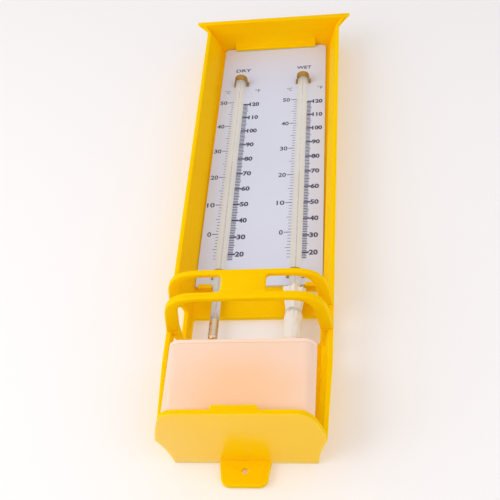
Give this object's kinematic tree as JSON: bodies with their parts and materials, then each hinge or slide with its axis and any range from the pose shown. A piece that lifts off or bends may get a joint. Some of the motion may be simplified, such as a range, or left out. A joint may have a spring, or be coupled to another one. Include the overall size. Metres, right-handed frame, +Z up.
{
  "type": "wet and dry bulb hygrometer",
  "caption": "wall-hung moulded tray with a hood, a scale plate, two glass thermometers, a bulb cage and a draw-out water tank with a wick",
  "frame": {"origin": "on the wall face of the case, midway across, level with the underside of the shelf, beside the lower lug", "axes": "+X across to the instrument's left as it looks out, which is right in the picture, +Y into the wall, +Z up"},
  "size_m": [0.1014, 0.049, 0.3322],
  "materials": {
    "yellow_plastic": "satin moulded",
    "opal_plate": "satin opal white",
    "stem_glass": "clear",
    "enamel": "cream enamel",
    "mercury": "liquid metal",
    "brass": "dull",
    "muslin": "soft cotton",
    "tie_thread": "cotton",
    "milky_plastic": "translucent, milky"
  },
  "bodies": {
    "case": {"case_body": "yellow_plastic", "bulb_cage": "yellow_plastic", "scale_plate": "opal_plate", "wick_sleeve": "muslin", "wick_tie": "tie_thread", "wick_tail": "muslin", "dry_glass": "stem_glass", "dry_enamel": "enamel", "dry_mercury": "mercury", "dry_upper_clip": "brass", "dry_lower_clip": "brass", "wet_glass": "stem_glass", "wet_enamel": "enamel", "wet_mercury": "mercury", "wet_upper_clip": "brass", "wet_lower_clip": "brass"},
    "reservoir": {"reservoir_tank": "milky_plastic"},
    "lid": {"reservoir_lid": "milky_plastic"}
  },
  "joints": [
    {"name": "reservoir_draw", "type": "slide", "parent": "case", "child": "reservoir", "axis": [0, -0.9397, 0.342], "range_m": [0, 0.062], "deforming": ["wick_tail"]},
    {"name": "lid_lift", "type": "slide", "parent": "reservoir", "child": "lid", "axis": [0, 0, 1], "range_m": [0, 0.01]}
  ]
}
